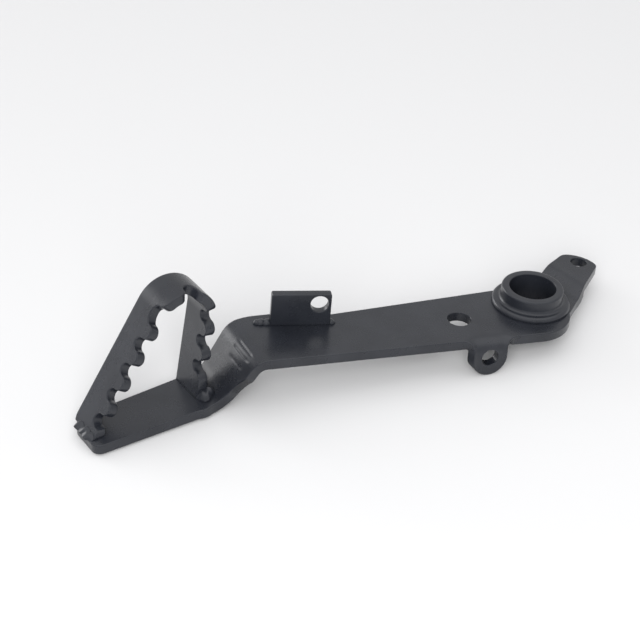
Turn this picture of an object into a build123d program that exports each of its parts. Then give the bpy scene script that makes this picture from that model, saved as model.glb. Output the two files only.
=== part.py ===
from build123d import *
import os
from math import asin, atan2, ceil, cos, degrees, hypot, isclose, radians, sin, tan

# Rear brake pedal of a motorbike: a bent steel plate that turns on a short tube, with a toothed
# tread strip welded on its foot end and a drilled tab welded on its arm. All sizes in millimetres.
# The origin lies on the pivot axis in the top face of the arm. Z is the pivot axis and points away
# from the engine, X runs along the arm from the foot to the tail, and Y points to the far edge.

# Plate
PLATE_T = 4.0            # thickness of the sheet
BEND_R = 4.0             # inner radius of the two bends of the jog

# Jog between arm and foot
JOG_X = -110.5           # where the arm's top face would meet the slope, on the line Y = 0
JOG_DROP = 18.0          # heel of the foot below the arm
JOG_ANGLE = 45.0         # slope of the jog, degrees
JOG_SKEW = 8.0           # turn of its bend lines out of square to the arm, degrees
FOOT_PITCH = 6.0         # fall of the foot towards its tip, degrees

# Arm outline, seen along the pivot axis
END_X = -3.0             # centre of the round pivot end
END_Y = -5.3
END_R = 16.0
CROOK_X = -136.0         # near edge: where foot and arm edges meet
CROOK_Y = -16.5
CROOK_R = 10.0
BITE_X = -119.1          # near edge: round relief beside the slope
BITE_Y = -22.9
BITE_R = 12.4
BITE_FOOT_R = 5.0        # rounding of its corners, on the foot and on the arm
BITE_ARM_R = 1.5
SHOULDER_X = -97.0       # far edge: end of the wide part that carries the tab
SHOULDER_Y = 12.6
WAIST_X = -80.0          # far edge: start of the narrow part
WAIST_Y = 7.8
WAIST_R = 12.0
FAR_ROOT_X = 3.5         # far edge: where the tail branches off
FAR_ROOT_Y = 12.0
ARM_HOLE_X = -31.7
ARM_HOLE_Y = -5.3
ARM_HOLE_R = 4.5

# Foot outline
FOOT_LENGTH = 72.4       # far edge, from the heel corner to the tip
FOOT_TIP_WIDTH = 19.5
TIP_NEAR_R = 3.5         # rounding of the tip's two corners
TIP_FAR_R = 6.0
HEEL_X = -110.5          # far edge: where foot and arm edges meet
HEEL_Y = 12.75
HEEL_R = 20.0
FOOT_FAR_ANGLE = 14.9    # direction of the foot's far edge to the arm, degrees

# Tail
TAIL_RAISE = 2.6         # tail above arm
TAIL_SLOPE = 24.0        # slope of its joggle, degrees
TAIL_BEND_R = 7.0        # inner radius of the joggle's two bends
TAIL_BEND_GAP = 0.3      # flat left between the tube's collar and the joggle
TAIL_BEND_ANGLE = 22.0   # direction across the joggle's bend lines, degrees
TAIL_ROOT_ANGLE = -15.0  # where the tail's near edge leaves the round end, degrees
TAIL_NEAR_X = 35.9       # end corner on the near side
TAIL_NEAR_Y = 16.6
TAIL_FAR_X = 25.4        # end corner on the far side
TAIL_FAR_Y = 27.3
TAIL_BULGE = 2.6         # rise of the curved end over its chord
TAIL_NEAR_R = 2.5
TAIL_FAR_R = 4.0
TAIL_ROOT_R = 2.0
TAIL_HOLE_X = 29.5
TAIL_HOLE_Y = 20.3
TAIL_HOLE_R = 3.2

# Ear bent down at the near edge
EAR_X = -25.6
EAR_FACE_Y = -23.5       # outer face
EAR_WIDTH = 13.2
EAR_DROP = 14.4          # tip below the arm's top face
EAR_BEND_R = 1.5
EAR_ROOT_R = 2.0         # rounding where its sides leave the near edge
EAR_HOLE_R = 3.2
EAR_HOLE_DROP = 6.7      # hole centre below the arm's top face

# Pivot tube
TUBE_R = 12.0
BORE_R = 9.0
TUBE_ABOVE = 7.3         # rim above the arm's top face
TUBE_BELOW = 6.0         # rim below the arm's lower face
RIM_CHAMFER = 0.8        # edges of the rims, outside and in the bore
BORE_CHAMFER = 0.4
COLLAR_R = 15.2
COLLAR_H = 2.0
COLLAR_CHAMFER = 1.0
TUBE_CLEARANCE = 0.3     # round gap between tube and plate

# Tab
TAB_WIDTH = 22.4
TAB_HEIGHT = 13.4
TAB_T = 3.2
TAB_X = -92.5            # middle of its near face
TAB_Y = 2.7
TAB_ANGLE = -10.8
TAB_CORNER_R = 0.8
TAB_HOLE_R = 3.4
TAB_HOLE_SIDE = 4.4      # hole centre from the end of the tab
TAB_HOLE_TOP = 4.2       # hole centre from its top

# Tread strip
TREAD_T = 3.8
TREAD_WIDTH = 15.4
TREAD_HEEL_GAP = 29.3    # inner face of the heel leg from the foot's heel corner, along the far edge
TREAD_TIP_GAP = 1.0      # outer face of the tip leg from the foot's tip, along the far edge
TREAD_CORNER_R = 4.0     # far corner of the strip's end at the tip
TIP_LEG_ANGLE = 54.0     # tip leg to the foot, degrees
HEEL_LEG_ANGLE = 77.6    # heel leg to the foot, degrees
TREAD_BEND_R = 12.6      # outer radius of the bend over the top
NOTCH_R = 2.4            # round bottom of a notch
TOOTH_R = 3.1            # rounding of a tooth beside it
NOTCH_PITCH = 10.6
TIP_FIRST_NOTCH = 16.2   # first notch from the foot, along the tip leg
HEEL_FIRST_NOTCH = 12.1  # first notch from the foot, along the heel leg

# Weld beads
BEAD_R = 2.3             # size of one lump of a bead
BEAD_STEP = 4.1          # longest step from lump to lump
TIP_BEAD_START = 5.0     # first lump from the strip's far edge
HEEL_BEAD_LAP = 4.0      # how far the bead runs along the heel leg from its near end
TAB_BEAD_RUN = 4.0       # how far the bead runs on from the tab's end towards the foot

FAR_OUT = 300.0          # longer than the pedal, for cuts that run right through


def along(point, angle, distance):
    """The point at a distance from a point, in a direction in degrees."""
    x, y = point
    return x + distance * cos(radians(angle)), y + distance * sin(radians(angle))


def sheet(points, radii, thickness):
    """Section of a bent sheet that lies on the right of a line with rounded corners."""
    face_line = FilletPolyline(*points, radius=radii)
    return make_face(offset(face_line, thickness, side=Side.RIGHT).edges())


def through(face):
    """A prism of a flat outline that runs right through the pedal along Z."""
    return extrude(face, FAR_OUT, both=True)


def near_edge_tangent():
    """Where the arm's near edge touches the round pivot end."""
    run_x = END_X - CROOK_X
    run_y = END_Y - CROOK_Y
    edge_angle = degrees(atan2(run_y, run_x) - asin(END_R / hypot(run_x, run_y)))
    return along((END_X, END_Y), edge_angle - 90, END_R)


def bite_corners(face):
    """Corners of an outline that lie on the round relief, from the foot to the arm."""
    def on_bite(corner):
        return isclose(hypot(corner.X - BITE_X, corner.Y - BITE_Y), BITE_R)
    return face.vertices().filter_by(on_bite).sort_by(Axis.X)


def arm_outline():
    """Outline of foot and arm up to the round pivot end."""
    crook = (CROOK_X, CROOK_Y)
    heel = (HEEL_X, HEEL_Y)
    far_tip = along(heel, FOOT_FAR_ANGLE, -FOOT_LENGTH)
    near_tip = along(far_tip, FOOT_FAR_ANGLE - 90, FOOT_TIP_WIDTH)
    end_middle = (END_X, END_Y)
    corners = [
        (near_tip, TIP_NEAR_R),
        (crook, CROOK_R),
        (near_edge_tangent(), 0),
        (end_middle, 0),
        ((FAR_ROOT_X, FAR_ROOT_Y), 0),
        ((WAIST_X, WAIST_Y), WAIST_R),
        ((SHOULDER_X, SHOULDER_Y), WAIST_R),
        (heel, HEEL_R),
        (far_tip, TIP_FAR_R),
    ]
    points = [point for point, radius in corners]
    radii = [radius for point, radius in corners]
    edge = FilletPolyline(*points, radius=radii, close=True)
    face = make_face(edge.edges()) + Pos(*end_middle) * Circle(END_R)
    face -= Pos(BITE_X, BITE_Y) * Circle(BITE_R)
    face = fillet(bite_corners(face)[-1], BITE_ARM_R)
    return fillet(bite_corners(face)[0], BITE_FOOT_R)


def tail_outline():
    """Outline of the tail, with its slightly curved end."""
    near_root = along((END_X, END_Y), TAIL_ROOT_ANGLE, END_R)
    far_root = (FAR_ROOT_X, FAR_ROOT_Y)
    near_end = (TAIL_NEAR_X, TAIL_NEAR_Y)
    far_end = (TAIL_FAR_X, TAIL_FAR_Y)
    edges = Polyline(far_end, far_root, (END_X, END_Y), near_root, near_end).edges()
    edges += SagittaArc(near_end, far_end, -TAIL_BULGE).edges()
    face = make_face(edges)
    face = fillet(face.vertices().sort_by_distance(near_end)[0], TAIL_NEAR_R)
    return fillet(face.vertices().sort_by_distance(far_end)[0], TAIL_FAR_R)


def plate_outline():
    """Whole outline of the plate without its ear."""
    face = arm_outline() + tail_outline()
    root = along((END_X, END_Y), TAIL_ROOT_ANGLE, END_R)
    return fillet(face.vertices().sort_by_distance(root)[0], TAIL_ROOT_R)


def tail_side():
    """Half of the plane that holds the tail, from the line where its joggle starts."""
    start = COLLAR_R + TAIL_BEND_GAP
    half = Pos(start + FAR_OUT / 2, 0) * Rectangle(FAR_OUT, FAR_OUT)
    return Rot(0, 0, TAIL_BEND_ANGLE) * half


def jog_run():
    """Length of the slope seen along the pivot axis."""
    return JOG_DROP / tan(radians(JOG_ANGLE))


def arm_slab():
    """The sheet of arm, jog and foot, wider than its outline."""
    heel = (-jog_run(), -JOG_DROP)
    points = [along(heel, FOOT_PITCH, -FAR_OUT / 2), heel, (0, 0), (FAR_OUT, 0)]
    section = sheet(points, [BEND_R, BEND_R + PLATE_T], PLATE_T)
    return Pos(JOG_X, 0) * Rot(0, 0, JOG_SKEW) * extrude(Plane.XZ * section, FAR_OUT, both=True)


def tail_slab():
    """The joggled sheet of the tail, wider than its outline."""
    bend = COLLAR_R + TAIL_BEND_GAP + TAIL_BEND_R * tan(radians(TAIL_SLOPE / 2))
    raised = bend + TAIL_RAISE / tan(radians(TAIL_SLOPE))
    points = [(-FAR_OUT / 2, 0), (bend, 0), (raised, TAIL_RAISE), (FAR_OUT / 2, TAIL_RAISE)]
    section = sheet(points, [TAIL_BEND_R, TAIL_BEND_R + PLATE_T], PLATE_T)
    return Rot(0, 0, TAIL_BEND_ANGLE) * extrude(Plane.XZ * section, FAR_OUT / 2, both=True)


def ear_bend_start():
    """Where the ear's bend leaves the arm, across the arm."""
    return EAR_FACE_Y + EAR_BEND_R + PLATE_T


def ear_gap():
    """The part of the near edge that the ear is bent out of, as an outline."""
    return Pos(EAR_X, ear_bend_start() - FAR_OUT / 2) * Rectangle(EAR_WIDTH, FAR_OUT)


def ear():
    """The ear: a strip bent down at the near edge, with a round end and flared root."""
    points = [(ear_bend_start() + PLATE_T, 0), (EAR_FACE_Y, 0), (EAR_FACE_Y, -FAR_OUT / 2)]
    face_line = FilletPolyline(*points, radius=EAR_BEND_R + PLATE_T)
    section = make_face(offset(face_line, PLATE_T, side=Side.LEFT).edges())
    strip = extrude(Plane.YZ * section, FAR_OUT, both=True)
    end_r = EAR_WIDTH / 2
    end_z = -EAR_DROP + end_r
    front = Pos(EAR_X, end_z) * Circle(end_r) + Pos(EAR_X, end_z / 2) * Rectangle(EAR_WIDTH, -end_z)
    flare_x = end_r + EAR_ROOT_R
    front += Pos(EAR_X, -EAR_ROOT_R / 2) * Rectangle(2 * flare_x, EAR_ROOT_R)
    for side in (-flare_x, flare_x):
        front -= Pos(EAR_X + side, -EAR_ROOT_R) * Circle(EAR_ROOT_R)
    return strip & extrude(Plane.XZ * front, FAR_OUT, both=True)


def lever_plate():
    """The blanked and bent plate, with its ear and all its holes."""
    outline = plate_outline() - ear_gap()
    beyond = tail_side()
    body = arm_slab() & through(outline - beyond)
    body += tail_slab() & through(outline & beyond)
    body += ear()
    holes = [
        (0, 0, TUBE_R + TUBE_CLEARANCE),
        (ARM_HOLE_X, ARM_HOLE_Y, ARM_HOLE_R),
        (TAIL_HOLE_X, TAIL_HOLE_Y, TAIL_HOLE_R),
    ]
    for x, y, radius in holes:
        body -= Pos(x, y) * Cylinder(radius, FAR_OUT)
    ear_cut = Cylinder(EAR_HOLE_R, 2 * PLATE_T + EAR_BEND_R)
    return body - Pos(EAR_X, EAR_FACE_Y + EAR_BEND_R / 2, -EAR_HOLE_DROP) * Rot(90, 0, 0) * ear_cut


def pivot_tube():
    """The turned pivot tube with the collar that seats on the arm."""
    bottom = -PLATE_T - TUBE_BELOW
    height = TUBE_ABOVE - bottom
    wall = Pos((BORE_R + TUBE_R) / 2, bottom + height / 2) * Rectangle(TUBE_R - BORE_R, height)
    inner_edges = wall.vertices().sort_by(Axis.X)[:2]
    wall = chamfer(inner_edges, BORE_CHAMFER)
    outer_edges = wall.vertices().sort_by(Axis.X)[-2:]
    wall = chamfer(outer_edges, RIM_CHAMFER)
    wall_middle = (BORE_R + TUBE_R) / 2
    collar = Pos((wall_middle + COLLAR_R) / 2, COLLAR_H / 2) * Rectangle(COLLAR_R - wall_middle, COLLAR_H)
    outer_top = collar.vertices().sort_by_distance((COLLAR_R, COLLAR_H))[0]
    collar = chamfer(outer_top, COLLAR_CHAMFER)
    return revolve(Plane.XZ * (wall + collar), Axis.Z)


def tab_place():
    """Where the tab stands on the arm: the middle of its near face."""
    return Pos(TAB_X, TAB_Y) * Rot(0, 0, TAB_ANGLE)


def tab():
    """The drilled tab that stands on the arm."""
    face = Pos(0, TAB_HEIGHT / 2) * Rectangle(TAB_WIDTH, TAB_HEIGHT)
    top = face.vertices().sort_by(Axis.Y)[2:]
    face = fillet(top, TAB_CORNER_R)
    face -= Pos(TAB_WIDTH / 2 - TAB_HOLE_SIDE, TAB_HEIGHT - TAB_HOLE_TOP) * Circle(TAB_HOLE_R)
    return tab_place() * extrude(Plane.XZ * face, -TAB_T)


def tread_place():
    """Where the tread strip stands: its heel leg's inner face at the foot's far edge."""
    x, y = along((HEEL_X, HEEL_Y), FOOT_FAR_ANGLE, -TREAD_HEEL_GAP)
    skew = radians(JOG_SKEW)
    ahead = (x - JOG_X) * cos(skew) + y * sin(skew) + jog_run()
    aside = y * cos(skew) - (x - JOG_X) * sin(skew)
    heel = Pos(JOG_X, 0) * Rot(0, 0, JOG_SKEW) * Pos(-jog_run(), 0, -JOG_DROP) * Rot(0, -FOOT_PITCH, 0)
    return heel * Pos(ahead / cos(radians(FOOT_PITCH)), aside) * Rot(0, 0, FOOT_FAR_ANGLE - JOG_SKEW)


def tread_span():
    """Length of foot under the tread, from the outer face of the tip leg to the heel leg."""
    return FOOT_LENGTH - TREAD_HEEL_GAP - TREAD_TIP_GAP


def tread_line(inset):
    """Line of the strip at a depth below its outer face, from the tip foot over to the heel foot."""
    tip_foot = -tread_span() + inset / sin(radians(TIP_LEG_ANGLE))
    heel_foot = (TREAD_T - inset) / sin(radians(HEEL_LEG_ANGLE))
    tip_rise = tan(radians(TIP_LEG_ANGLE))
    heel_rise = tan(radians(HEEL_LEG_ANGLE))
    apex_x = (heel_rise * heel_foot - tip_rise * tip_foot) / (heel_rise - tip_rise)
    apex = (apex_x, tip_rise * (apex_x - tip_foot))
    return FilletPolyline((tip_foot, 0), apex, (heel_foot, 0), radius=TREAD_BEND_R - inset)


def tread_band():
    """The bent strip before its teeth are cut, standing on the plane Z = 0."""
    outer = tread_line(0)
    inner = tread_line(TREAD_T)
    feet = [Line(outer @ 0, inner @ 0), Line(outer @ 1, inner @ 1)]
    section = make_face(outer.edges() + inner.edges() + feet)
    return extrude(Plane.XZ * section, TREAD_WIDTH)


def end_corner():
    """The square corner of the strip's slanted end as a cutter that leaves it round."""
    size = TREAD_CORNER_R
    slant = TREAD_T / 2 / tan(radians(TIP_LEG_ANGLE))
    face = Pos(size / 2, -size / 2) * Rectangle(size, size) - Pos(size, -size) * Circle(size)
    return Pos(-slant, 0) * extrude(face, 2 * TREAD_T, both=True)


def notch_row(leg, first):
    """Distances of the notches of a leg from its foot, in even steps to the end of the leg."""
    steps = round((leg.length - first) / NOTCH_PITCH)
    return [first + i * NOTCH_PITCH for i in range(steps + 1)]


def notch_places(middle):
    """Distances of the notches along the strip: even rows on the legs and one on the bend."""
    tip_leg, heel_leg = middle.edges().filter_by(GeomType.LINE).sort_by(Axis.X)
    tip_row = notch_row(tip_leg, TIP_FIRST_NOTCH)
    heel_row = [middle.length - distance for distance in notch_row(heel_leg, HEEL_FIRST_NOTCH)]
    return tip_row + [(tip_row[-1] + heel_row[-1]) / 2] + heel_row


def notch():
    """One notch as a cutter: a round bottom and the rounded flanks of the teeth beside it."""
    half = NOTCH_R + TOOTH_R
    depth = NOTCH_R + TOOTH_R
    outside = -TREAD_T
    edges = [
        Line((-half, outside), (-half, 0)),
        RadiusArc((-half, 0), (-NOTCH_R, TOOTH_R), TOOTH_R),
        ThreePointArc((-NOTCH_R, TOOTH_R), (0, depth), (NOTCH_R, TOOTH_R)),
        RadiusArc((NOTCH_R, TOOTH_R), (half, 0), TOOTH_R),
        Line((half, 0), (half, outside)),
        Line((half, outside), (-half, outside)),
    ]
    return extrude(make_face(edges), 2 * TREAD_T, both=True)


def on_strip(middle, distance, across):
    """Frame in the strip's middle line: X along the strip, Y across it to the far side."""
    point = middle @ (distance / middle.length)
    tangent = middle % (distance / middle.length)
    return Plane(
        origin=(point.X, across, point.Y),
        x_dir=(tangent.X, 0, tangent.Y),
        z_dir=(-tangent.Y, 0, tangent.X),
    )


def tread_strip():
    """The toothed strip bent to a loop, with both feet on the foot plate."""
    strip = tread_band()
    middle = tread_line(TREAD_T / 2)
    cutter = notch()
    for distance in notch_places(middle):
        strip -= on_strip(middle, distance, -TREAD_WIDTH) * cutter
    strip -= on_strip(middle, 0, 0) * end_corner()
    return tread_place() * strip


def bead(middles):
    """A weld bead of overlapping round lumps on the plane Z = 0, from the middles of the lumps."""
    lumps = [Pos(x, y) * Sphere(BEAD_R) for x, y in middles]
    above = Pos(0, 0, FAR_OUT / 2) * Box(FAR_OUT, FAR_OUT, FAR_OUT)
    return (lumps[0] + lumps[1:]) & above


def tread_tip_weld():
    """The bead along the outer side of the tip leg."""
    run = TREAD_WIDTH - BEAD_R - TIP_BEAD_START
    steps = ceil(run / BEAD_STEP)
    middles = [(-tread_span(), -TIP_BEAD_START - i * run / steps) for i in range(steps + 1)]
    return tread_place() * (bead(middles) - tread_band())


def tread_heel_weld():
    """The bead round the near end of the heel leg."""
    outer = TREAD_T / sin(radians(HEEL_LEG_ANGLE))
    middles = [(outer, HEEL_BEAD_LAP - TREAD_WIDTH), (outer, -TREAD_WIDTH), (0, -TREAD_WIDTH)]
    return tread_place() * (bead(middles) - tread_band())


def tab_welds():
    """The beads at the two ends of the tab: one runs on towards the foot, one is a single lump."""
    block = Pos(0, TAB_T / 2) * Box(TAB_WIDTH, TAB_T, TAB_HEIGHT)
    end = TAB_WIDTH / 2
    foot_side = bead([(-end, TAB_T / 2), (-end - TAB_BEAD_RUN, TAB_T / 2)]) - block
    tube_side = bead([(end, TAB_T / 2)]) - block
    return Compound(children=[*(tab_place() * foot_side).solids(), *(tab_place() * tube_side).solids()])


def main():
    """Build every piece and write it to its own file."""
    pieces = {
        "lever_plate": lever_plate(),
        "pivot_tube": pivot_tube(),
        "tab": tab(),
        "tread_strip": tread_strip(),
        "tread_tip_weld": tread_tip_weld(),
        "tread_heel_weld": tread_heel_weld(),
        "tab_welds": tab_welds(),
    }
    os.makedirs("parts", exist_ok=True)
    for name, piece in pieces.items():
        export_step(piece, f"parts/{name}.step")


main()
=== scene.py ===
import bmesh
import bpy
import numpy as np
from mathutils import Matrix, Vector
from mathutils.geometry import delaunay_2d_cdt


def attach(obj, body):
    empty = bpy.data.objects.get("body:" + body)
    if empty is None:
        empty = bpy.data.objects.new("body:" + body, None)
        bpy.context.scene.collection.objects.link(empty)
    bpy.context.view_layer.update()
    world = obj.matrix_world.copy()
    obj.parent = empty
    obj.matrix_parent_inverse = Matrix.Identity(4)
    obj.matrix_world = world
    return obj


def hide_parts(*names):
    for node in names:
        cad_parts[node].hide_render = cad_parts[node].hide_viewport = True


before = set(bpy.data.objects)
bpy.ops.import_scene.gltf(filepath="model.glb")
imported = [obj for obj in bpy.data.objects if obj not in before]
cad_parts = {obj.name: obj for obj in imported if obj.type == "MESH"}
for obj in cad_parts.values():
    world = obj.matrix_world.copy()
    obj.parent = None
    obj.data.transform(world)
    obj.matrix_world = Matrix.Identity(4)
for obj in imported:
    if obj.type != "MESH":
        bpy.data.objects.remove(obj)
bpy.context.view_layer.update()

bl_info = {
    "name": "Rear Brake Pedal",
    "version": (1, 0, 0),
    "blender": (4, 5, 0),
    "location": "View3D > Sidebar > Pedal",
    "description": "Black steel brake pedal: lever plate, pivot tube, tab, toothed tread and weld beads",
    "category": "Object",
}

UP = np.array([0.0, 0.0, 1.0])

# Corners of the plate's outline in millimetres: along the arm, across it, and their rounding
CORNERS = {
    "near_tip": (-175.452, -24.710, 3.5),
    "crook": (-136.0, -16.5, 10.0),
    "far_root": (3.5, 12.0, 2.0),
    "waist": (-80.0, 7.8, 12.0),
    "shoulder": (-97.0, 12.6, 12.0),
    "heel": (-110.5, 12.75, 20.0),
    "far_tip": (-180.466, -5.866, 6.0),
}
# Where the near edge runs into the round pivot end, in millimetres as all of these tables
NEAR_ROOT = (-3.578, -21.290)
# Round relief at the near edge: its middle, radius and the rounding of its two corners
BITE = (-125.8, -23.0, 9.0, 6.0, 1.5)
# Press marks across the slope: place from the jog's line, far end and near end across the arm
MARKS = [(-6.2, 1.5, -12.5), (-8.0, 0.7, -13.5), (-10.1, -0.8, -13.0)]
# Round pivot end: its middle, radius and the direction of its last point in degrees
PIVOT_END = (-3.0, -5.3, 16.0, -17.0)
# Curved end of the tail: middle, radius, directions of its two ends in degrees and the ends' rounding
TAIL_END = (23.866, 15.293, 12.105, 6.2, 82.72, 2.5, 4.0)
# Round holes through the plate, the first inside the wall of the tube: middle and radius
HOLES = [(0.0, 0.0, 10.2), (-31.7, -5.3, 4.5), (29.5, 20.3, 3.2)]
# Where the net of points on the plate is closer, for the press marks: along the arm and across it
CLOSE_NET = [(-124.5, -112.5), (-14.8, 3.0)]

# Step of that net, step of the toothed edge, longest ear and rounding of a sharp corner, in metres
NET_STEP = 0.0011
TOOTH_STEP = 0.00028
LONGEST_EAR = 0.03
SHARP = 1e-6
# How the faces between lines are filled: only inside the lines, and points this near in millimetres are one
FILL_INSIDE = 1
SAME_POINT = 1e-6
# Points on a rounded corner, on the outlines of plate and tab, round a hole and round the tube
CORNER_POINTS = 8
PLATE_POINTS = 1300
TAB_POINTS = 240
HOLE_POINTS = 96
TUBE_POINTS = 192
# Lines along a face of the tab and of the strip, as shares of the way across it
TAB_LINES = np.array([0.02, 0.08, 0.25, 0.5, 0.75, 0.92, 0.98])
STRIP_LINES = np.array([0.015, 0.05, 0.12, 0.25, 0.4, 0.6, 0.75, 0.88, 0.95, 0.985])
# How the paint on the beads differs: stronger and coarser waviness, less gloss
BEAD_PAINT = {"peel": 3.0, "grain": 700.0, "dull": 0.05}


def length(name, description, millimetres):
    """A property for a length, given in millimetres and kept in metres."""
    return bpy.props.FloatProperty(
        name=name, description=description, default=millimetres / 1000, unit="LENGTH", precision=5
    )


def angle(name, description, degrees):
    """A property for an angle, given in degrees and kept in radians."""
    return bpy.props.FloatProperty(
        name=name, description=description, default=float(np.radians(degrees)), unit="ROTATION"
    )


def share(name, description, default):
    """A property for a plain number from 0 to 1."""
    return bpy.props.FloatProperty(name=name, description=description, default=default, min=0.0, max=1.0)


def amount(name, description, default):
    """A property for a plain number."""
    return bpy.props.FloatProperty(name=name, description=description, default=default)


def number_of(name, description, default):
    """A property for a count."""
    return bpy.props.IntProperty(name=name, description=description, default=default, min=1)


def place(name, description, millimetres):
    """A property for a point, given in millimetres and kept in metres."""
    metres = [v / 1000 for v in millimetres]
    return bpy.props.FloatVectorProperty(
        name=name, description=description, default=metres, subtype="XYZ", unit="LENGTH"
    )


def direction(name, description, default):
    """A property for a direction."""
    return bpy.props.FloatVectorProperty(name=name, description=description, default=default, subtype="XYZ")


def colour(name, description, default):
    """A property for a colour."""
    return bpy.props.FloatVectorProperty(
        name=name, description=description, default=default, subtype="COLOR", min=0.0, max=1.0
    )


class PedalPlate(bpy.types.PropertyGroup):
    """Sizes of the lever plate."""

    thickness: length("Thickness", "Thickness of the sheet", 4.0)
    edge: length("Edge", "Rounding of its edges under the paint", 0.45)
    slope: angle("Slope", "Slope of the jog between arm and foot", 57.5)
    slope_start: length("Slope start", "Top of the slope beyond the jog's line", 6.2)
    upper_bend: length("Upper bend", "Outer radius of the bend at the arm", 8.0)
    lower_bend: length("Lower bend", "Radius of the hollow bend at the foot", 9.0)
    cut_blend: length("Cut blend", "Width over which the jog's depth turns upright to its far edge", 16.0)
    tail_start: length("Tail start", "Where the tail's joggle leaves the arm, from the pivot axis", 17.0)
    tail_raise: length("Tail raise", "Tail above the arm", 2.6)
    tail_slope: angle("Tail slope", "Slope of the tail's joggle", 24)
    tail_turn: angle("Tail turn", "Direction across the joggle's bend lines", 22)
    tail_bend: length("Tail bend", "Radius of the joggle's bends", 9.0)
    ear: length("Ear", "Middle of the ear along the arm", -25.6)
    ear_width: length("Ear width", "Width of the ear", 13.2)
    ear_face: length("Ear face", "Outer face of the ear across the arm", -23.5)
    ear_bend: length("Ear bend", "Length of the ear's bend along its outer face", 12.0)
    ear_clear: share("Ear clear", "Half the ear's straight bend line as a share of the ear's width", 0.35)
    ear_drop: length("Ear drop", "Tip of the ear below the arm's top face", 14.4)
    ear_root: length("Ear root", "Rounding where the ear leaves the near edge", 4.5)
    ear_hole: length("Ear hole", "Radius of the ear's hole", 3.2)
    ear_hole_drop: length("Ear hole drop", "Middle of the ear's hole below the arm's top face", 6.7)
    mark: length("Mark", "Depth of the press marks on the slope", 0.32)
    mark_width: length("Mark width", "Half the width of a press mark", 0.36)
    mark_fade: length("Mark fade", "Over which a press mark runs out at its ends", 3.0)


class PedalTube(bpy.types.PropertyGroup):
    """Sizes of the pivot tube."""

    radius: length("Radius", "Outer radius of the tube", 12.0)
    bore: length("Bore", "Radius of the bore", 9.0)
    top: length("Top", "Upper rim above the arm", 7.3)
    bottom: length("Bottom", "Lower rim, below the arm", -10.0)
    collar: length("Collar", "Radius of the collar on the arm", 15.2)
    collar_height: length("Collar height", "Height of the collar over the arm", 2.0)
    edge: length("Edge", "Rounding of the rims", 0.8)


class PedalTab(bpy.types.PropertyGroup):
    """Sizes of the drilled tab."""

    place: place("Place", "Middle of its near face on the arm", (-92.5, 2.7, 0.0))
    turn: angle("Turn", "Turn about the pivot's direction", -10.8)
    width: length("Width", "Width of the tab", 22.4)
    height: length("Height", "Height of the tab", 13.4)
    thickness: length("Thickness", "Thickness of the tab", 3.2)
    corner: length("Corner", "Rounding of its upper corners", 0.8)
    hole: length("Hole", "Radius of its hole", 3.4)
    hole_side: length("Hole side", "Hole centre from the tab's end", 4.4)
    hole_top: length("Hole top", "Hole centre from the tab's top", 4.2)
    edge: length("Edge", "Rounding of its edges under the paint", 0.35)


class PedalTread(bpy.types.PropertyGroup):
    """Sizes of the toothed tread strip and where it stands on the foot."""

    heel: place("Heel", "Far corner of the foot at the jog, in the arm's top face", (-110.5, 12.75, 0.0))
    from_heel: length("From heel", "Heel leg from that corner, along the far edge", 29.3)
    jog: length("Jog", "Place of the jog's line along the arm", -110.5)
    drop: length("Drop", "Heel of the foot below the arm", 18.0)
    skew: angle("Skew", "Turn of the jog's bend lines", 8)
    pitch: angle("Pitch", "Fall of the foot towards its tip", 6)
    far_turn: angle("Far edge", "Direction of the foot's far edge", 14.9)
    width: length("Width", "Width of the strip", 15.4)
    thickness: length("Thickness", "Thickness of the strip", 3.8)
    span: length("Span", "Between the legs on the foot", 42.1)
    tip_leg: angle("Tip leg", "Tip leg to the foot", 54.0)
    heel_leg: angle("Heel leg", "Heel leg to the foot", 77.6)
    bend: length("Bend", "Outer radius of the bend over the top", 12.6)
    tip_slant: length("Tip slant", "Over which the slanting cut of the tip leg's end fades", 8.0)
    heel_slant: length("Heel slant", "Over which the slanting cut of the heel leg's end fades", 5.0)
    corner: length("Corner", "Rounding of the far corner at the tip", 4.0)
    notch: length("Notch", "Radius of a notch's bottom", 2.4)
    tooth: length("Tooth", "Rounding of a tooth", 3.1)
    pitch_of_teeth: length("Tooth pitch", "From notch to notch", 10.6)
    notch_share: share("Notch share", "Half a notch with its roundings, as a share of the pitch", 0.48)
    tip_notches: number_of("Tip notches", "Notches on the tip leg", 5)
    tip_first: length("First tip notch", "First notch from the foot on the tip leg", 5.6)
    last_wider: length("Last wider", "How much wider the tip leg's last notch is", 2.2)
    top_shift: length("Top shift", "How far the notch over the top lies past half way", 0.6)
    heel_notches: number_of("Heel notches", "Notches on the heel leg", 3)
    heel_first: length("First heel notch", "First notch from the foot on the heel leg", 12.1)
    edge: length("Edge", "Rounding of its edges under the paint", 0.45)


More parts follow.
